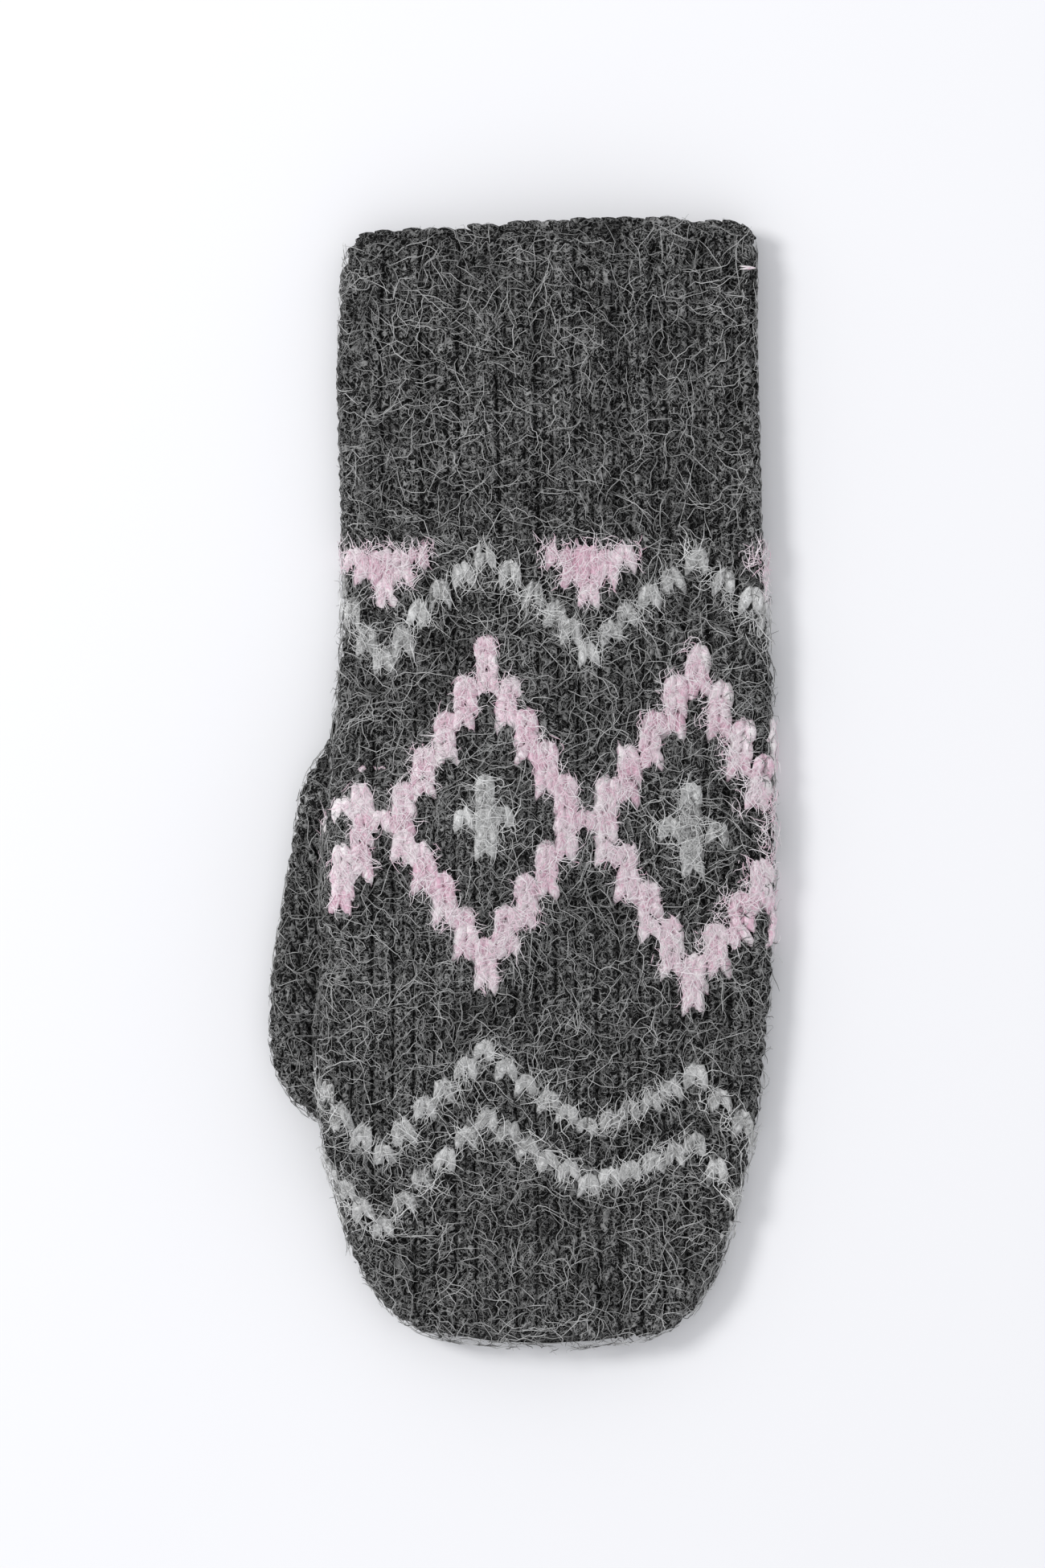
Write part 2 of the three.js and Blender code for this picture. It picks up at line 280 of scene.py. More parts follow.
woolLook = {
    "fibreScale": 3.0,        # fibres of about 0.25 mm, coarser than the real ones, so that they show
    "fibreShift": 260.0,      # what makes the fibres of every stitch its own
    "mottle": 9 * mm,
    "webSizes": ((3.0, 0.0), (2.3, 3.0), (1.7, 7.0)),  # mm between curling hairs, and a shift
    "webCore": 0.008,         # how near the middle of a hair it is palest, and how far out it ends
    "webEdge": 0.03,
    "relief": 0.4 * mm,
}


# Loosely spun, brushed mohair and wool: matt, with fine fibres lying along the strand, a web of raised
# hair over it, and every stitch a little lighter or darker than the next.
def woolYarn(name, look):
    material = bpy.data.materials.new(name)
    material.use_nodes = True
    tree = material.node_tree
    tree.nodes.clear()
    strand = addNode(tree, "ShaderNodeAttribute", attribute_name="strand").outputs["Vector"]
    tint = addNode(tree, "ShaderNodeAttribute", attribute_name="tint").outputs["Fac"]
    place = addNode(tree, "ShaderNodeTexCoord").outputs["Object"]
    shift = addNode(
        tree, "ShaderNodeVectorMath", {0: place, "Scale": woolLook["fibreShift"]}, operation="SCALE",
    )
    fibrePlace = addNode(tree, "ShaderNodeVectorMath", (strand, shift), operation="ADD")
    fibres = addNode(
        tree, "ShaderNodeTexNoise",
        {
            "Vector": fibrePlace, "Scale": woolLook["fibreScale"],
            "Detail": 3.0, "Roughness": 0.65, "Distortion": 0.8,
        },
    )
    mottle = addNode(
        tree, "ShaderNodeTexNoise", {"Vector": place, "Scale": 1 / woolLook["mottle"], "Detail": 2.0},
    )
    mixed = addNode(tree, "ShaderNodeMath", (tint, 0.2, -0.1), operation="MULTIPLY_ADD")
    mixed = addNode(tree, "ShaderNodeMath", (fibres, mixed), operation="ADD")
    spread = addNode(tree, "ShaderNodeMath", (mottle, 0.3, -0.15), operation="MULTIPLY_ADD")
    mixed = addNode(tree, "ShaderNodeMath", (mixed, spread), operation="ADD")
    colour = addNode(tree, "ShaderNodeValToRGB", {"Fac": mixed})
    setRamp(colour, [(0.34, look["shadow"]), (0.5, look["body"]), (0.68, look["light"])])
    web = None
    for size, offset in woolLook["webSizes"]:
        moved = addNode(tree, "ShaderNodeVectorMath", (place, (offset, offset, offset)), operation="ADD")
        field = addNode(
            tree, "ShaderNodeTexNoise",
            {"Vector": moved, "Scale": 1 / (size * mm), "Detail": 1.0, "Distortion": 1.2},
        )
        away = addNode(tree, "ShaderNodeMath", (field, 0.5), operation="SUBTRACT")
        away = addNode(tree, "ShaderNodeMath", (away,), operation="ABSOLUTE")
        hair = addNode(
            tree, "ShaderNodeMapRange",
            {
                "Value": away, "From Min": woolLook["webCore"], "From Max": woolLook["webEdge"],
                "To Min": 1.0, "To Max": 0.0,
            },
        ).outputs[0]
        if web is not None:
            hair = addNode(tree, "ShaderNodeMath", (web, hair), operation="MAXIMUM").outputs[0]
        web = hair
    cloudy = addNode(
        tree, "ShaderNodeMapRange",
        {"Value": mottle, "From Min": 0.35, "From Max": 0.65, "To Min": 0.6, "To Max": 1.2},
    )
    cover = addNode(tree, "ShaderNodeMath", (cloudy, look["haze"]), operation="MULTIPLY")
    cover = addNode(tree, "ShaderNodeMath", (web, cover), operation="MULTIPLY")
    haired = addNode(tree, "ShaderNodeMix", {0: cover, 6: colour, 7: linear(look["hair"])}, data_type="RGBA")
    height = addNode(tree, "ShaderNodeMath", (web, 0.5, fibres), operation="MULTIPLY_ADD")
    relief = addNode(
        tree, "ShaderNodeBump", {"Height": height, "Strength": 0.7, "Distance": woolLook["relief"]},
    )
    shader = addNode(
        tree, "ShaderNodeBsdfPrincipled",
        {
            "Base Color": haired.outputs[2], "Roughness": 0.95, "Specular IOR Level": 0.1,
            "Sheen Weight": 0.03, "Sheen Roughness": 0.5, "Normal": relief,
        },
    )
    addNode(tree, "ShaderNodeOutputMaterial", {"Surface": shader})
    return material


charcoalYarn = woolYarn("charcoalMohairYarn", yarns["charcoal"])
pinkYarn = woolYarn("palePinkMohairYarn", yarns["pink"])
greyYarn = woolYarn("lightGreyMohairYarn", yarns["grey"])
print("yarns made")


# A new Geometry Nodes tree with named inputs, and its input and output nodes.
def newTree(name, inputs):
    tree = bpy.data.node_groups.new(name, "GeometryNodeTree")
    tree.interface.new_socket("Geometry", in_out="INPUT", socket_type="NodeSocketGeometry")
    for label, value in inputs.items():
        kind = "Material" if value is None else "Int" if isinstance(value, int) else "Float"
        socket = tree.interface.new_socket(label, in_out="INPUT", socket_type="NodeSocket" + kind)
        if value is not None:
            socket.default_value = value
    tree.interface.new_socket("Geometry", in_out="OUTPUT", socket_type="NodeSocketGeometry")
    return tree, addNode(tree, "NodeGroupInput").outputs


floorGap = 0.05 * mm


# A new object in the scene for a mesh, lamp or camera.
def objectOf(name, data):
    made = bpy.data.objects.new(name, data)
    bpy.context.scene.collection.objects.link(made)
    return made


# Runs a tree on an object and keeps the result as a plain mesh, in a piece of its own.
def growPiece(name, base, tree, values):
    modifier = base.modifiers.new(tree.name, "NODES")
    modifier.node_group = tree
    for item in tree.interface.items_tree:
        if item.in_out == "INPUT" and item.name in values:
            modifier[item.identifier] = values[item.name]
    bpy.context.view_layer.update()
    grown = base.evaluated_get(bpy.context.evaluated_depsgraph_get())
    mesh = bpy.data.meshes.new_from_object(grown)
    base.modifiers.remove(modifier)
    mesh.name = name
    places = np.zeros(len(mesh.vertices) * 3)
    mesh.vertices.foreach_get("co", places)
    places[2::3] = np.maximum(places[2::3], floorGap)  # its weight presses the yarn flat below
    mesh.vertices.foreach_set("co", places)
    piece = objectOf(name, mesh)
    print("grown:", name, "with", sum(len(p.vertices) - 2 for p in mesh.polygons), "triangles")
    return piece


def finishPiece(piece, slot, *nodes):
    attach(piece, "root")
    if nodes:
        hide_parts(*nodes)
    return piece


stitchShape = {
    "Leg length": 6.1 * mm,
    "Leg width": 1.2 * mm,     # half a strand
    "Point spread": 0.3 * mm,  # from the middle of the stitch to a leg, at its pointed end
    "Foot spread": 1.75 * mm,  # the same at its open end
    "Arch": 1.3 * mm,
}
legPlan = {
    "sides": 5,
    "steps": 4,                # along each leg
    "middle": 0.42,            # how far out its middle is, as a share of both ends' spread
    "swell": (0.74, 0.26),     # how much plumper its middle is, and how wide its ends stay
}


# One V of knitting for each point: two plump legs that meet towards the cuff and dip at both ends.
def stitchTree():
    tree, given = newTree("knitStitches", {**stitchShape, "Seed": 1, "Yarn": None})
    halfLength = addNode(tree, "ShaderNodeMath", (given["Leg length"], 0.5), operation="MULTIPLY").outputs[0]
    back = addNode(tree, "ShaderNodeMath", (halfLength, -1.0), operation="MULTIPLY").outputs[0]
    dip = addNode(tree, "ShaderNodeMath", (given["Arch"], -0.5), operation="MULTIPLY").outputs[0]
    middleX = addNode(
        tree, "ShaderNodeMath", (given["Point spread"], given["Foot spread"]), operation="ADD",
    ).outputs[0]
    profile = addNode(
        tree, "GeometryNodeCurvePrimitiveCircle", {"Resolution": legPlan["sides"], "Radius": 1.0},
    )
    legs = addNode(tree, "GeometryNodeJoinGeometry")
    for side in (-1, 1):
        ends = []
        for spread, along, height in (
            (given["Point spread"], halfLength, dip),
            (middleX, None, given["Arch"]),
            (given["Foot spread"], back, dip),
        ):
            share = side * (legPlan["middle"] if along is None else 1)
            across = addNode(tree, "ShaderNodeMath", (spread, share), operation="MULTIPLY").outputs[0]
            sockets = {"X": across, "Z": height}
            if along is not None:
                sockets["Y"] = along
            ends.append(addNode(tree, "ShaderNodeCombineXYZ", sockets).outputs[0])
        leg = addNode(
            tree, "GeometryNodeCurveQuadraticBezier",
            {"Resolution": legPlan["steps"], "Start": ends[0], "Middle": ends[1], "End": ends[2]},
        )
        along = addNode(tree, "GeometryNodeSplineParameter").outputs["Factor"]
        swell = addNode(tree, "ShaderNodeMath", (along, math.pi), operation="MULTIPLY")
        swell = addNode(tree, "ShaderNodeMath", (swell,), operation="SINE")
        swell = addNode(tree, "ShaderNodeMath", (swell, *legPlan["swell"]), operation="MULTIPLY_ADD")
        radius = addNode(tree, "ShaderNodeMath", (swell, given["Leg width"]), operation="MULTIPLY")
        place = addNode(tree, "ShaderNodeCombineXYZ", (0.0, along, float(side)))
        leg = addNode(
            tree, "GeometryNodeStoreNamedAttribute",
            {"Geometry": leg, "Name": "strand", "Value": place},
            data_type="FLOAT_VECTOR", domain="POINT",
        )
        skin = addNode(
            tree, "GeometryNodeCurveToMesh",
            {"Curve": leg, "Profile Curve": profile, "Scale": radius, "Fill Caps": True},
        )
        tree.links.new(skin.outputs[0], legs.inputs[0])
    facing, towards, sizes = (
        addNode(tree, "GeometryNodeInputNamedAttribute", {"Name": name}, data_type="FLOAT_VECTOR")
        for name in ("facing", "towards", "sizes")
    )
    turned = addNode(tree, "FunctionNodeAlignRotationToVector", {"Vector": facing}, axis="Z")
    turned = addNode(
        tree, "FunctionNodeAlignRotationToVector", {"Rotation": turned, "Vector": towards},
        axis="Y", pivot_axis="Z",
    )
    points = addNode(tree, "GeometryNodeMeshToPoints", {"Mesh": given["Geometry"]})
    placed = addNode(
        tree, "GeometryNodeInstanceOnPoints",
        {"Points": points, "Instance": legs, "Rotation": turned, "Scale": sizes},
    )
    tint = addNode(tree, "FunctionNodeRandomValue", {"Seed": given["Seed"]}, data_type="FLOAT")
    tinted = addNode(
        tree, "GeometryNodeStoreNamedAttribute",
        {"Geometry": placed, "Name": "tint", "Value": tint.outputs[1]},
        data_type="FLOAT", domain="INSTANCE",
    )
    real = addNode(tree, "GeometryNodeRealizeInstances", {"Geometry": tinted})
    smooth = addNode(tree, "GeometryNodeSetShadeSmooth", {"Geometry": real})
    done = addNode(tree, "GeometryNodeSetMaterial", {"Geometry": smooth, "Material": given["Yarn"]})
    addNode(tree, "NodeGroupOutput", (done,))
    return tree


knitStitches = stitchTree()


# Loose points with a direction out, one towards the cuff, and a size each.
def pointsObject(name, stitches):
    mesh = bpy.data.meshes.new(name)
    mesh.from_pydata([stitch["place"] for stitch in stitches], [], [])
    for label in ("facing", "towards", "sizes"):
        attribute = mesh.attributes.new(label, "FLOAT_VECTOR", "POINT")
        attribute.data.foreach_set("vector", np.array([list(stitch[label]) for stitch in stitches]).ravel())
    return objectOf(name, mesh)


# One stitch, let into the surface that it stands on.
def stitchAt(here, facing, towards, sunk, sizes):
    return {"place": here - facing * sunk, "facing": facing, "towards": towards, "sizes": sizes}


# Turns a stitch a little at random, and gives its three sizes.
def uneven(chance, facing, towards, turn, wobble):
    towards.rotate(Quaternion(facing, chance.normal(0, turn)))
    return 1 + chance.normal(0, wobble, 3) * (0.5, 0.6, 0.6)


def growStitches(name, stitches, yarn, slot, **values):
    holder = pointsObject(name + "Points", stitches)
    piece = growPiece(name, holder, knitStitches, {**stitchShape, "Yarn": yarn, **values})
    bpy.data.objects.remove(holder)
    return finishPiece(piece, slot)


handKnit = {
    "sunk": 1.35 * mm,
    "wobble": 0.1,
    "turn": 0.09,
    "looser": 1.8,                         # how many times further the pattern's stitches turn
    "tall": (0.8, 1.35),                   # limits of what the rows' spacing does to a stitch
    "stray": (0.3 * mm, 0.5 * mm, 0.0),    # how far the pattern's stitches lie out of line
    "plump": {"pink": 1.32, "grey": 1.2},  # the pattern's looser stitches spread over their neighbours
    "plumpRise": 0.25 * mm,                # and stand out a little
    "plumpTall": 0.4,
    "gather": 0.2,                         # how much the ribbing pulls the small triangles together
    "gatherRows": 5,
    "tipGap": 2.4 * mm,                    # no stitch is closer to the fingertip
    "seed": 7,
}


# How far a column stands from its even place, in columns: the ribbing gathers the first rows, and the
# back's columns on the little-finger side are stretched.
def gathered(column, row, lower):
    half = knit["repeat"] / 2
    stretch = 0 if lower else max(column - 5, 0) * 0.06 + max(column - 10, 0) * 0.09
    fromTriangle = (column + half) % knit["repeat"]
    fromTriangle -= knit["repeat"] * (fromTriangle > half)
    fade = max(1 - row / handKnit["gatherRows"], 0)
    pull = min(abs(fromTriangle), (half - abs(fromTriangle)) * 2 / 3)
    return stretch - math.copysign(pull, fromTriangle) * handKnit["gather"] * min(fade * 2, 1)


def handStitches():
    chance = np.random.default_rng(handKnit["seed"])
    grouped = {"back": [], "palm": [], "pink": [], "grey": []}
    pitch = knit["pitch"]
    for row in range(knit["rows"]):
        for lower in (False, True):
            zeroX = knit["palmZeroX"] if lower else knit["zeroX"]
            for step in range(-knit["widest"], knit["widest"] + 1):
                column = step + (knit["palmColumn"] if lower else 0)
                along = (step + gathered(column, row, lower)) * pitch
                y = yOfRow(row, zeroX)
                for _ in range(2):
                    y = yOfRow(row, placeAt(handTube, along, y, zeroX, lower)[0].x)
                if y < tipY + handKnit["tipGap"]:
                    continue
                i = int(np.clip(np.searchsorted(handTube["ys"], y), 0, len(handTube["ys"]) - 1))
                ring = handTube["rings"][i]
                arc = zeroArc(ring, zeroX, lower) + along
                inside = (ring["turn"], ring["arcs"][-1] + 0.01 * mm) if lower else (0, ring["turn"])
                if not inside[0] <= arc < inside[1]:
                    continue
                here, facing, towards, gap = frameAt(handTube, along, y, zeroX, lower)
                if gap > 0.5:
                    continue
                nextY = yOfRow(row + 1, here.x)
                tall = np.clip((y - nextY) / knit["rowPitch"], *handKnit["tall"])
                yarn = yarnAt(column, row, lower)
                turn = handKnit["turn"] * (1 if yarn == "charcoal" else handKnit["looser"])
                grow = uneven(chance, facing, towards, turn, handKnit["wobble"])
                group = ("palm" if lower else "back") if yarn == "charcoal" else yarn
                plump = handKnit["plump"].get(yarn, 1)
                if yarn != "charcoal":
                    here += Vector(chance.normal(0, 1, 3) * handKnit["stray"])
                sunk = handKnit["sunk"] - handKnit["plumpRise"] * (plump > 1)
                sizes = grow * (plump, tall * (1 + (plump - 1) * handKnit["plumpTall"]), 1)
                grouped[group].append(stitchAt(here, facing, towards, sunk, sizes))
    return grouped


hand = handStitches()
growStitches("backStitches", hand["back"], charcoalYarn, "charcoal_wool", Seed=11)
growStitches("palmStitches", hand["palm"], charcoalYarn, "charcoal_wool", Seed=12)
growStitches("pinkStitches", hand["pink"], pinkYarn, "pink_wool", Seed=13)
growStitches("greyStitches", hand["grey"], greyYarn, "grey_wool", Seed=14)


cuffKnit = {
    "ribs": 23,
    "rows": 18,
    "rowPitch": 3.9 * mm,
    "edgeDrops": [(0.0, 3.6 * mm), (0.7, 0.0), (1.0, 1.3 * mm)],  # how far the cast-on edge falls short
    "cornerRadius": 5.2 * mm,
    "foldRadius": 5.5 * mm,   # where the first rib stands, in from the left edge
    "edgeBelow": 2.4 * mm,    # the last row below the cast-on edge
    "edgeStitches": 58,
    "edgeInset": 1.5 * mm,    # how far the edge's middle stays below the rim
    "edgeSunk": 1.25 * mm,
    "foldInset": 0.8 * mm,    # how far the edge stays in from both folds
    "foldShrink": 0.4,        # how much smaller its stitches are there
    "bridgeAt": -0.9 * mm,    # a first row that covers the join with the hand
    "bridgeSunk": 0.75 * mm,
    "knitSunk": 1.1 * mm,
    "knitSizes": (1.08, 1.02, 1.1),
    "purlSunk": 1.75 * mm,
    "purlSizes": (1, 1, 0.8),
    "reach": 3 * mm,          # how far apart the places are that give a stitch its direction
    "turn": 0.05,
    "wobble": 0.09,
    "edgeStep": 1.5 * mm,     # the same for a stitch of the edge
    "edgeTurn": 0.12,
    "edgeWobble": 0.06,
    "edgeSize": 0.95,
    "seed": 19,
}


# The y of the cast-on edge: highest right of the middle, and rounded at both folds.
def rimAt(x):
    low, high = cuffTube["rings"][-1]["low"], cuffTube["rings"][-1]["high"]
    drop = float(np.interp((x - low) / (high - low), *zip(*cuffKnit["edgeDrops"])))
    radius = cuffKnit["cornerRadius"]
    short = radius - min(max(min(x - low, high - x), 0), radius)
    return cuffTop - drop - radius + math.sqrt(radius ** 2 - short ** 2)


# The cuff's one by one ribbing: columns that stand out, with sunken ones between them.
def ribStitches():
    chance = np.random.default_rng(cuffKnit["seed"])
    grouped = {"knit": [], "purl": []}
    columns = cuffKnit["ribs"] * 2
    # past the last outline a stitch would have no direction
    lowY, highY = cuffTube["ys"][0], cuffTube["ys"][-1] - cuffKnit["reach"]
    for row in range(-1, cuffKnit["rows"]):  # the first row bridges the join with the hand
        for column in range(columns):
            y = min(lowY + (row + 0.5) * cuffKnit["rowPitch"], highY)
            ring = cuffTube["rings"][min(int(np.searchsorted(cuffTube["ys"], y)), len(cuffTube["ys"]) - 1)]
            girth = ring["arcs"][-1]
            zeroX = ring["low"] + cuffKnit["foldRadius"]
            along = -girth * column / columns
            here, facing, towards, _ = frameAt(cuffTube, along, y, zeroX, True, cuffKnit["reach"])
            full = rimAt(here.x) - joinY - cuffKnit["edgeBelow"]
            bridging = row < 0
            here.y = joinY + (cuffKnit["bridgeAt"] if bridging else full * (row + 0.5) / cuffKnit["rows"])
            kind = "knit" if column % 2 == 0 else "purl"
            grow = uneven(chance, facing, towards, cuffKnit["turn"], cuffKnit["wobble"])
            sunk = cuffKnit["bridgeSunk" if bridging else kind + "Sunk"]
            sizes = grow * cuffKnit[kind + "Sizes"]
            grouped[kind].append(stitchAt(here, facing, towards, sunk, sizes))
    return grouped


# The cast-on edge: a chain of stitches that lies along the rim.
def edgeStitches():
    chance = np.random.default_rng(cuffKnit["seed"] + 1)
    stitches = []
    top = cuffTube["ys"][-1]
    ring = cuffTube["rings"][-1]
    girth = ring["arcs"][-1]
    leftmost, rightmost = ring["low"] + cuffKnit["foldInset"], ring["high"] - cuffKnit["foldInset"]
    for i in range(cuffKnit["edgeStitches"]):
        along = girth * i / cuffKnit["edgeStitches"]
        steps = (0, -cuffKnit["edgeStep"], cuffKnit["edgeStep"])
        places = [placeAt(cuffTube, along + step, top, 0.0)[0] for step in steps]
        for place in places:
            place.x = min(max(place.x, leftmost), rightmost)
            place.y = rimAt(place.x) - cuffKnit["edgeInset"]
        here, behind, ahead = places
        run = (ahead - behind).normalized()
        facing = frameAt(cuffTube, along, top, 0.0)[1]
        facing = (facing - run * facing.dot(run)).normalized()
        facing.rotate(Quaternion(run, chance.normal(0, cuffKnit["edgeTurn"])))
        sizes = (1 + chance.normal(0, cuffKnit["edgeWobble"], 3)) * cuffKnit["edgeSize"]
        sizes = sizes * (1 - cuffKnit["foldShrink"] * abs(facing.x))
        stitches.append(stitchAt(here, facing, run, cuffKnit["edgeSunk"], sizes))
    return stitches


rib = ribStitches()
growStitches("ribKnitStitches", rib["knit"], charcoalYarn, "charcoal_rib", Seed=21)
growStitches("ribPurlStitches", rib["purl"], charcoalYarn, "charcoal_rib", Seed=22)
growStitches("castOnEdge", edgeStitches(), charcoalYarn, "charcoal_rib", Seed=25)


# A short pale end of yarn on the cuff, near its right corner: one stitch drawn out thin.
yarnEnd = {"x": 49.5 * mm, "y": 114 * mm, "sunk": -1.0 * mm, "sizes": (0.2, 0.6, 0.3)}
endPlace, endFacing, endTowards, _ = frameAt(cuffTube, 0, yarnEnd["y"], yarnEnd["x"])
endTowards = endTowards.cross(endFacing)
endStitch = stitchAt(endPlace, endFacing, endTowards, yarnEnd["sunk"], yarnEnd["sizes"])
growStitches("paleYarnEnd", [endStitch], pinkYarn, "pink_wool", Seed=26)


thumbKnit = {
    "rowPitch": 3.75 * mm,
    "sunk": 1.15 * mm,
    "hiddenAbove": -8 * mm,   # further up, only the side that the hand leaves bare is knitted
    "bareSide": -33 * mm,
    "firstRow": 9.5 * mm,
    "tipGap": 0.6 * mm,
    "turn": 0.07,
    "wobble": 0.1,
    "seed": 23,
}


def thumbStitches():
    chance = np.random.default_rng(thumbKnit["seed"])
    stitches = []
    y = thumbKnit["firstRow"]
    while y > thumbTube["ys"][0] + thumbKnit["tipGap"]:
        ring = thumbTube["rings"][int(np.searchsorted(thumbTube["ys"], y))]
        girth = ring["arcs"][-1]
        columns = max(int(round(girth / knit["pitch"])), 3)
        middle = (ring["low"] + ring["high"]) / 2
        for column in range(columns):
            here, facing, towards, _ = frameAt(thumbTube, girth * column / columns, y, middle)
            if y > thumbKnit["hiddenAbove"] and here.x > thumbKnit["bareSide"]:
                continue
            sizes = uneven(chance, facing, towards, thumbKnit["turn"], thumbKnit["wobble"])
            stitches.append(stitchAt(here, facing, towards, thumbKnit["sunk"], sizes))
        y -= thumbKnit["rowPitch"]
    return stitches


growStitches("thumbStitches", thumbStitches(), charcoalYarn, "charcoal_thumb", Seed=24)


backing = {
    "seam": 0.002 * mm,
    "inset": 1.7 * mm,
    "clear": 0.3 * mm,        # how far off the wall, and up to where, its other side is looked for
    "nearby": 25 * mm,
    "rimSlant": 3.1 * mm,
    "edgeBelow": 1.2 * mm,
}


# The fabric behind the stitches: the frame's own solid with its outside let in, so that the stitches
# fill out to the frame's size.
def backingOf(node, name, slot):
    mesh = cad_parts[node].data.copy()
    mesh.name = name
    shell = bmesh.new()
    shell.from_mesh(mesh)
    bmesh.ops.remove_doubles(shell, verts=shell.verts, dist=backing["seam"])
    bmesh.ops.recalc_face_normals(shell, faces=shell.faces)
    shell.normal_update()
    tree = BVHTree.FromBMesh(shell)
    moves = []
    for vertex in shell.verts:
        start = vertex.co + vertex.normal * backing["clear"]
        outside = tree.ray_cast(start, vertex.normal, backing["nearby"])[0] is None
        if outside:
            moves.append((vertex, vertex.normal * backing["inset"]))
    for vertex, move in moves:
        vertex.co -= move
    if node == "cuff":
        low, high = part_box("cuff")[0][0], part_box("cuff")[1][0]
        for vertex in shell.verts:
            own = cuffTop - backing["rimSlant"] * (high - vertex.co.x) / (high - low)
            wanted = rimAt(vertex.co.x) - backing["edgeBelow"]
            vertex.co.y = joinY + (vertex.co.y - joinY) * (wanted - joinY) / (own - joinY)
    shell.to_mesh(mesh)
    shell.free()
    mesh.materials.clear()
    mesh.materials.append(woolBacking)
    return finishPiece(objectOf(name, mesh), slot, node)


woolBacking = woolYarn("charcoalWoolBacking", yarns["backing"])
backingOf("hand", "handBacking", "charcoal_wool")
backingOf("cuff", "cuffBacking", "charcoal_rib")
backingOf("thumb", "thumbBacking", "charcoal_thumb")
print("backing made")


fibreLook = {
    "Density": 165000.0,     # hairs for each square metre
    "Extra": 3.4,            # more of them, as a share, over the pattern's stitches
    "Raised": 0.45 * mm,     # how much higher they lie over the pattern's stitches
    "Length": 7.0 * mm,
    "Curl": 7.0 * mm,
    "Wave": 4.0 * mm,
    "Width": 0.2 * mm,       # several times coarser than mohair, so that it shows
    "Lowest": 0.0 * mm,
    "Highest": 0.8 * mm,
    "Rim": 1.0,              # no hair goes past this y, which is far off where there is no rim
    "Rim slope": 0.0,
}
hairPlan = {
    "points": 7,              # along each hair
    "sides": 3,
    "sunk": 2 * mm,           # how far a hair goes in where it crosses a lighter yarn than its own
    "aboveFloor": 0.15 * mm,
    "ragged": 3 * mm,         # how uneven the hairs' limit at the rim is
    "across": 96,             # cells of a skin from fold to fold
}
fibreColours = {
    "charcoal": [(0.0, "#3e3e3d"), (0.5, "#8e8e8d"), (1.0, "#d4d4d3")],
    "grey": [(0.0, "#9c9c9b"), (0.5, "#d2d2d1"), (1.0, "#f8f8f7")],
    "pink": [(0.0, "#f0c9d9"), (0.5, "#f8ebf1"), (1.0, "#fefafb")],
}


# Raised mohair hairs, from dark to nearly white, in the colours of the yarn that they come out of.
def hairMaterial():
    material = bpy.data.materials.new("raisedMohairHairs")
    material.use_nodes = True
    tree = material.node_tree
    tree.nodes.clear()
    tint = addNode(tree, "ShaderNodeAttribute", attribute_name="tint").outputs["Fac"]
    yarn = addNode(tree, "ShaderNodeAttribute", attribute_name="yarn").outputs["Fac"]
    ramps = []
    for name in ("charcoal", "grey", "pink"):
        ramp = addNode(tree, "ShaderNodeValToRGB", {"Fac": tint})
        setRamp(ramp, fibreColours[name])
        ramps.append(ramp.outputs[0])
    isGrey = addNode(tree, "ShaderNodeMath", (yarn, 0.5), operation="GREATER_THAN")
    isPink = addNode(tree, "ShaderNodeMath", (yarn, 1.5), operation="GREATER_THAN")
    colour = addNode(tree, "ShaderNodeMix", {0: isGrey, 6: ramps[0], 7: ramps[1]}, data_type="RGBA")
    colour = addNode(tree, "ShaderNodeMix", {0: isPink, 6: colour.outputs[2], 7: ramps[2]}, data_type="RGBA")
    shader = addNode(
        tree, "ShaderNodeBsdfPrincipled",
        {"Base Color": colour.outputs[2], "Roughness": 0.8, "Specular IOR Level": 0.3},
    )
    addNode(tree, "ShaderNodeOutputMaterial", {"Surface": shader})
    return material


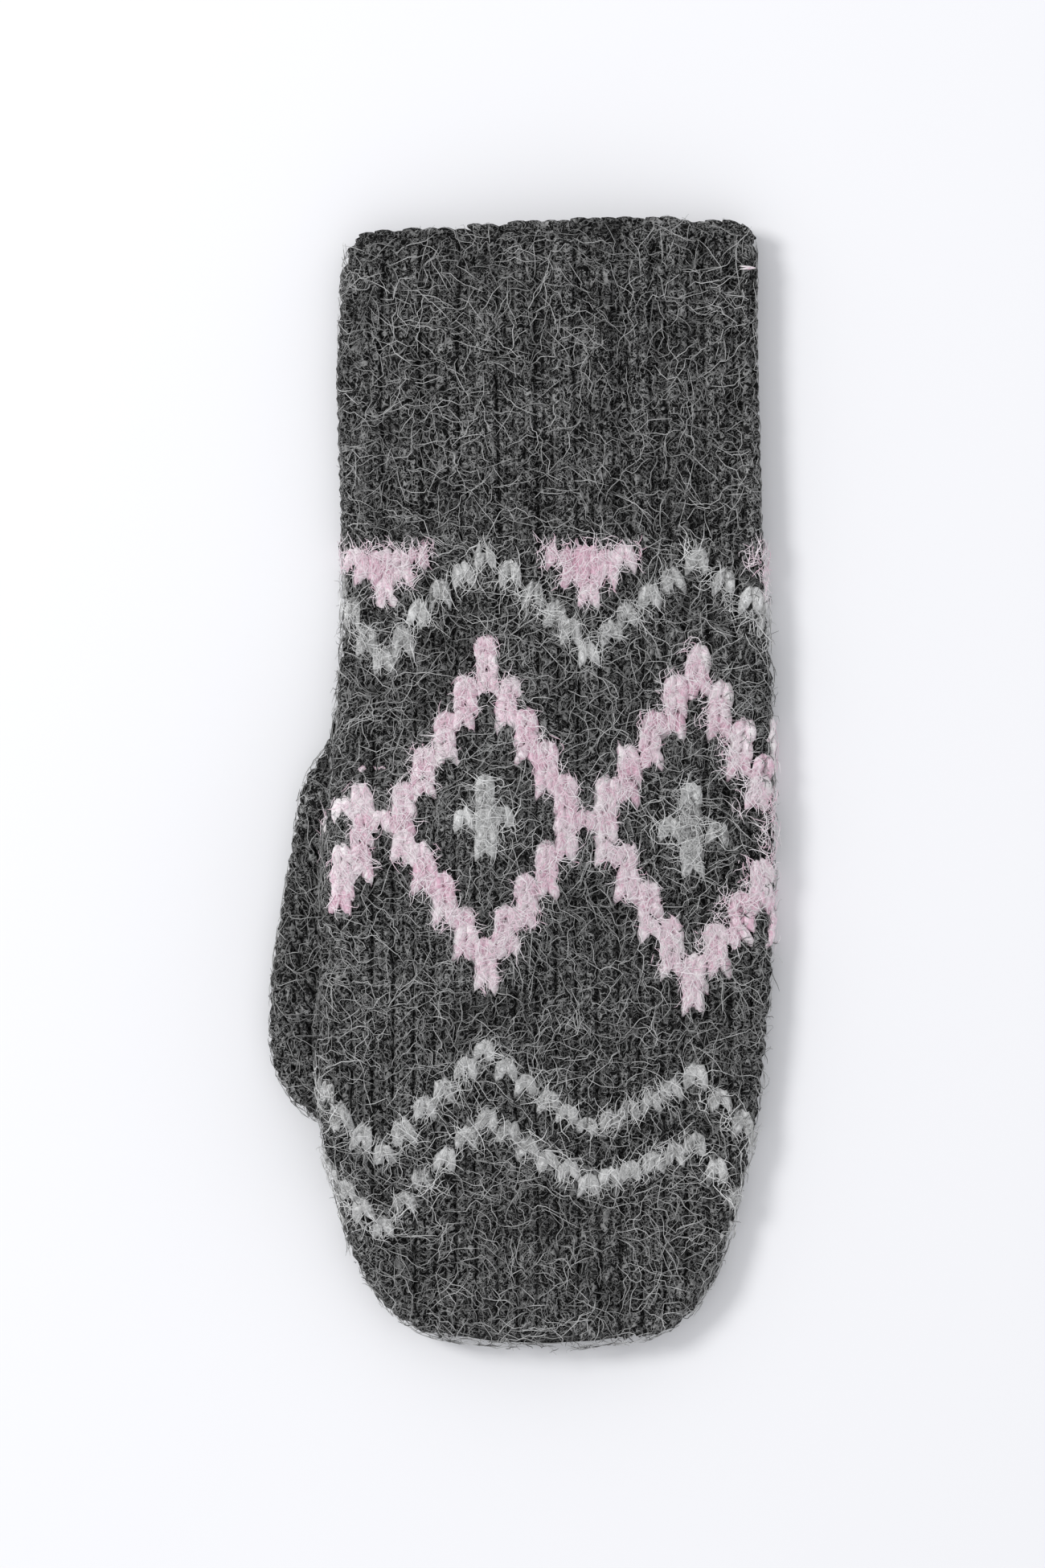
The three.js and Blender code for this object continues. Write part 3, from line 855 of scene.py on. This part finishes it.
# Curling hairs scattered over a skin, each pulled back onto it at a height of its own.
def fibreTree():
    tree, given = newTree("brushedHairs", {**fibreLook, "Seed": 1, "Yarn": None})
    skin = given["Geometry"]
    yarn = addNode(tree, "GeometryNodeInputNamedAttribute", {"Name": "yarn"}, data_type="FLOAT").outputs[0]
    charted = addNode(tree, "ShaderNodeMath", (yarn, 0.5), operation="GREATER_THAN").outputs[0]
    denser = addNode(tree, "ShaderNodeMath", (charted, given["Extra"], 1.0), operation="MULTIPLY_ADD")
    density = addNode(tree, "ShaderNodeMath", (denser, given["Density"]), operation="MULTIPLY")
    scatter = addNode(
        tree, "GeometryNodeDistributePointsOnFaces",
        {"Mesh": skin, "Density": density, "Seed": given["Seed"]},
    )
    line = addNode(tree, "GeometryNodeCurvePrimitiveLine", {"Start": (-0.5, 0, 0), "End": (0.5, 0, 0)})
    line = addNode(tree, "GeometryNodeResampleCurve", {"Curve": line, "Count": hairPlan["points"]})
    upright = addNode(
        tree, "FunctionNodeAlignRotationToVector", {"Vector": scatter.outputs["Normal"]}, axis="Z",
    )
    upright = addNode(
        tree, "FunctionNodeAlignRotationToVector", {"Rotation": upright, "Vector": (0, 1, 0)},
        axis="X", pivot_axis="Z",
    )
    # any way round on charcoal; on the pattern a little less far round
    reach = addNode(tree, "ShaderNodeMath", (charted, -0.25, math.pi / 2), operation="MULTIPLY_ADD")
    angle = addNode(
        tree, "FunctionNodeRandomValue", {2: -1.0, 3: 1.0, "Seed": given["Seed"]}, data_type="FLOAT",
    )
    angle = addNode(tree, "ShaderNodeMath", (angle.outputs[1], reach), operation="MULTIPLY")
    spin = addNode(tree, "FunctionNodeAxisAngleToRotation", {"Axis": (0, 0, 1), "Angle": angle})
    turned = addNode(tree, "FunctionNodeRotateRotation", (upright, spin), rotation_space="LOCAL")
    longer = addNode(tree, "FunctionNodeRandomValue", {2: 0.5, 3: 1.5, "Seed": 5}, data_type="FLOAT")
    shorter = addNode(tree, "ShaderNodeMath", (yarn, -0.22, 1.0), operation="MULTIPLY_ADD")
    length = addNode(tree, "ShaderNodeMath", (longer.outputs[1], given["Length"]), operation="MULTIPLY")
    length = addNode(tree, "ShaderNodeMath", (length, shorter), operation="MULTIPLY")
    size = addNode(tree, "ShaderNodeCombineXYZ", {"X": length, "Y": 1.0, "Z": 1.0})
    placed = addNode(
        tree, "GeometryNodeInstanceOnPoints",
        {"Points": scatter.outputs["Points"], "Instance": line, "Rotation": turned, "Scale": size},
    ).outputs[0]
    for name, low, high in (("tint", 0.0, 1.0), ("whim", 0.0, 500.0)):
        value = addNode(
            tree, "FunctionNodeRandomValue",
            {2: low, 3: high, "Seed": len(name) + int(high)}, data_type="FLOAT",
        )
        placed = addNode(
            tree, "GeometryNodeStoreNamedAttribute",
            {"Geometry": placed, "Name": name, "Value": value.outputs[1]},
            data_type="FLOAT", domain="INSTANCE",
        ).outputs[0]
    real = addNode(tree, "GeometryNodeRealizeInstances", {"Geometry": placed})
    whim = addNode(tree, "GeometryNodeInputNamedAttribute", {"Name": "whim"}, data_type="FLOAT").outputs[0]
    here = addNode(tree, "GeometryNodeInputPosition").outputs[0]
    waves = addNode(tree, "ShaderNodeMath", (1.0, given["Wave"]), operation="DIVIDE").outputs[0]
    noise = addNode(
        tree, "ShaderNodeTexNoise",
        {"Vector": here, "W": whim, "Scale": waves, "Detail": 1.0}, noise_dimensions="4D",
    )
    bend = addNode(
        tree, "ShaderNodeVectorMath", (noise.outputs["Color"], (0.5, 0.5, 0.5)), operation="SUBTRACT",
    )
    bend = addNode(tree, "ShaderNodeVectorMath", {0: bend, "Scale": given["Curl"]}, operation="SCALE")
    bent = addNode(tree, "GeometryNodeSetPosition", {"Geometry": real, "Offset": bend})
    nearest = addNode(
        tree, "GeometryNodeProximity", {0: skin, "Sample Position": here}, target_element="FACES",
    )
    normal = addNode(tree, "GeometryNodeInputNormal").outputs[0]
    outward = addNode(
        tree, "GeometryNodeSampleNearestSurface", {"Mesh": skin, "Value": normal, "Sample Position": here},
        data_type="FLOAT_VECTOR",
    )
    lift = addNode(
        tree, "ShaderNodeTexNoise",
        {"Vector": here, "W": whim, "Scale": waves, "Detail": 0.0}, noise_dimensions="4D",
    )
    height = addNode(
        tree, "ShaderNodeMapRange",
        {
            "Value": lift, "From Min": 0.25, "From Max": 0.75,
            "To Min": given["Lowest"], "To Max": given["Highest"],
        },
    )
    below = addNode(
        tree, "GeometryNodeSampleNearestSurface", {"Mesh": skin, "Value": yarn, "Sample Position": here},
        data_type="FLOAT",
    )
    raised = addNode(tree, "ShaderNodeMath", (charted, given["Raised"], height), operation="MULTIPLY_ADD")
    overLighter = addNode(tree, "ShaderNodeMath", (below, yarn), operation="SUBTRACT")
    overLighter = addNode(tree, "ShaderNodeMath", (overLighter, 0.9), operation="GREATER_THAN")
    height = addNode(
        tree, "ShaderNodeMath", (overLighter, -hairPlan["sunk"], raised), operation="MULTIPLY_ADD",
    )
    # only its distance from the skin is set anew, so that a hair can reach past the skin's edge
    off = addNode(tree, "ShaderNodeVectorMath", (here, nearest), operation="SUBTRACT")
    off = addNode(tree, "ShaderNodeVectorMath", (off, outward), operation="DOT_PRODUCT")
    change = addNode(tree, "ShaderNodeMath", (height, off.outputs["Value"]), operation="SUBTRACT")
    rise = addNode(tree, "ShaderNodeVectorMath", {0: outward, "Scale": change}, operation="SCALE")
    settled = addNode(tree, "ShaderNodeVectorMath", (here, rise), operation="ADD")
    floor = addNode(
        tree, "ShaderNodeVectorMath", (settled, (-9, -9, hairPlan["aboveFloor"])), operation="MAXIMUM",
    )
    sides = addNode(tree, "ShaderNodeSeparateXYZ", {0: here})
    rim = addNode(tree, "ShaderNodeMath", (sides, given["Rim slope"], given["Rim"]), operation="MULTIPLY_ADD")
    ragged = addNode(tree, "ShaderNodeMath", (lift, hairPlan["ragged"], rim), operation="MULTIPLY_ADD")
    limit = addNode(tree, "ShaderNodeCombineXYZ", {"X": 9.0, "Y": ragged, "Z": 9.0})
    floor = addNode(tree, "ShaderNodeVectorMath", (floor, limit), operation="MINIMUM")
    laid = addNode(tree, "GeometryNodeSetPosition", {"Geometry": bent, "Position": floor})
    along = addNode(tree, "GeometryNodeSplineParameter").outputs["Factor"]
    taper = addNode(tree, "ShaderNodeMath", (along, math.pi), operation="MULTIPLY")
    taper = addNode(tree, "ShaderNodeMath", (taper,), operation="SINE")
    taper = addNode(tree, "ShaderNodeMath", (taper, 0.3, 0.2), operation="MULTIPLY_ADD")
    width = addNode(tree, "ShaderNodeMath", (taper, given["Width"]), operation="MULTIPLY")
    profile = addNode(
        tree, "GeometryNodeCurvePrimitiveCircle", {"Resolution": hairPlan["sides"], "Radius": 1.0},
    )
    hairs = addNode(
        tree, "GeometryNodeCurveToMesh",
        {"Curve": laid, "Profile Curve": profile, "Scale": width, "Fill Caps": True},
    )
    smooth = addNode(tree, "GeometryNodeSetShadeSmooth", {"Geometry": hairs})
    done = addNode(tree, "GeometryNodeSetMaterial", {"Geometry": smooth, "Material": given["Yarn"]})
    addNode(tree, "NodeGroupOutput", (done,))
    return tree


brushedHairs = fibreTree()
hairYarn = hairMaterial()
yarnCodes = {"charcoal": 0.0, "grey": 1.0, "pink": 2.0}


# A thin skin over a tube, for hairs to grow on, with the yarn of every cell; part takes the upper or
# lower layer only, and a slanted skin ends along the cast-on edge.
def skinOf(name, tube, part, charted=False, slanted=False):
    rings = tube["rings"]
    lowest, highest = tube["ys"][0], tube["ys"][-1]
    across = hairPlan["across"]
    points = []
    for y, ring in zip(tube["ys"], rings):
        start, end = {"upper": (0, ring["turn"]), "lower": (ring["turn"], ring["arcs"][-1]),
                      "whole": (0, ring["arcs"][-1])}[part]
        for arc in np.linspace(start, end, across):
            x, z = (float(np.interp(arc, ring["arcs"], side)) for side in ring["line"].T)
            if slanted:
                full = rimAt(x) - cuffKnit["edgeInset"] - joinY
                points.append((x, joinY + full * (y - lowest) / (highest - lowest), z))
            else:
                points.append((x, y, z))
    faces, codes = [], []
    for i in range(len(rings) - 1):
        for j in range(across - 1):
            a = i * across + j
            faces.append((a, a + 1, a + across + 1, a + across))
            if not charted:
                codes.append(0.0)
                continue
            x, y, z = (sum(points[k][axis] for k in faces[-1]) / 4 for axis in range(3))
            ring = rings[i]
            lower = part == "lower"
            base = zeroArc(ring, knit["palmZeroX"] if lower else knit["zeroX"], lower)
            start, end = (ring["turn"], ring["arcs"][-1]) if lower else (0, ring["turn"])
            arc = start + (end - start) * (j + 0.5) / (across - 1)
            column = int(round((arc - base) / knit["pitch"])) + (knit["palmColumn"] if lower else 0)
            codes.append(yarnCodes[yarnAt(column, int(round(rowOfY(y, x))), lower)])
    mesh = bpy.data.meshes.new(name)
    mesh.from_pydata(points, [], faces)
    mesh.attributes.new("yarn", "FLOAT", "FACE").data.foreach_set("value", codes)
    return objectOf(name, mesh)


def growHairs(name, skin, slot, **values):
    piece = growPiece(name, skin, brushedHairs, {**fibreLook, "Yarn": hairYarn, **values})
    bpy.data.objects.remove(skin)
    return finishPiece(piece, slot)


growHairs(
    "backHairs", skinOf("backSkin", handTube, "upper", charted=True), "charcoal_wool",
    Seed=31, Density=135000.0,
)
growHairs(
    "backShortHairs", skinOf("backSkin", handTube, "upper", charted=True), "charcoal_wool",
    Seed=35, Density=140000.0, Length=4.5 * mm, Wave=3 * mm, Highest=0.6 * mm,
)
growHairs(
    "palmHairs", skinOf("palmSkin", handTube, "lower", charted=True), "charcoal_wool",
    Seed=32, Density=110000.0,
)
hairRim = {"left": -30 * mm, "right": 35 * mm, "below": 1.0 * mm}  # a straight line through the rim
rimSlope = (rimAt(hairRim["right"]) - rimAt(hairRim["left"])) / (hairRim["right"] - hairRim["left"])
rimMiddle = rimAt(0.0) - hairRim["below"]
growHairs(
    "cuffHairs", skinOf("cuffSkin", cuffTube, "whole", slanted=True), "charcoal_rib",
    Seed=33, Density=180000.0, Rim=rimMiddle, **{"Rim slope": rimSlope},
)
growHairs("thumbHairs", skinOf("thumbSkin", thumbTube, "whole"), "charcoal_thumb", Seed=34, Density=140000.0)


studio = {
    "floor": "#f4f4f6",
    "floorSize": 12.0,
    "worldStrength": 0.77,
    "keyPower": 11.5,
    "keySize": 0.5,
    "keyPlace": (-0.98, 0.42, 1.25),
    "lens": 150.0,
    "frameHeight": 346 * mm,  # what the picture's height takes in
    "aimHeight": 12 * mm,
}


def makeStudio():
    scene = bpy.context.scene
    scene.view_settings.view_transform = "Standard"
    world = bpy.data.worlds.new("softRoom")
    world.use_nodes = True
    scene.world = world
    light = world.node_tree.nodes["Background"]
    light.inputs["Color"].default_value = linear("#fbfcff")
    light.inputs["Strength"].default_value = studio["worldStrength"]

    paper = bpy.data.materials.new("matPaper")  # matt seamless paper, without gloss
    paper.use_nodes = True
    shader = paper.node_tree.nodes["Principled BSDF"]
    shader.inputs["Base Color"].default_value = linear(studio["floor"])
    shader.inputs["Roughness"].default_value = 1.0
    shader.inputs["Specular IOR Level"].default_value = 0.0
    sheet = bpy.data.meshes.new("paperFloor")
    half = studio["floorSize"] / 2
    corners = [(x * half, y * half, 0) for x, y in ((-1, -1), (1, -1), (1, 1), (-1, 1))]
    sheet.from_pydata(corners, [], [(0, 1, 2, 3)])
    sheet.materials.append(paper)
    objectOf("paperFloor", sheet)

    key = bpy.data.lights.new("softKey", "AREA")
    key.shape = "DISK"
    key.size = studio["keySize"]
    key.energy = studio["keyPower"]
    lamp = objectOf("softKey", key)
    lamp.location = studio["keyPlace"]
    lamp.rotation_euler = (-Vector(studio["keyPlace"])).to_track_quat("-Z", "Y").to_euler()

    camera = bpy.data.cameras.new("overheadCamera")
    camera.lens = studio["lens"]
    camera.clip_end = 20
    eye = objectOf("overheadCamera", camera)
    distance = studio["frameHeight"] * studio["lens"] / camera.sensor_width
    eye.location = (0, 0, studio["aimHeight"] + distance)
    scene.camera = eye


makeStudio()
print("studio made")
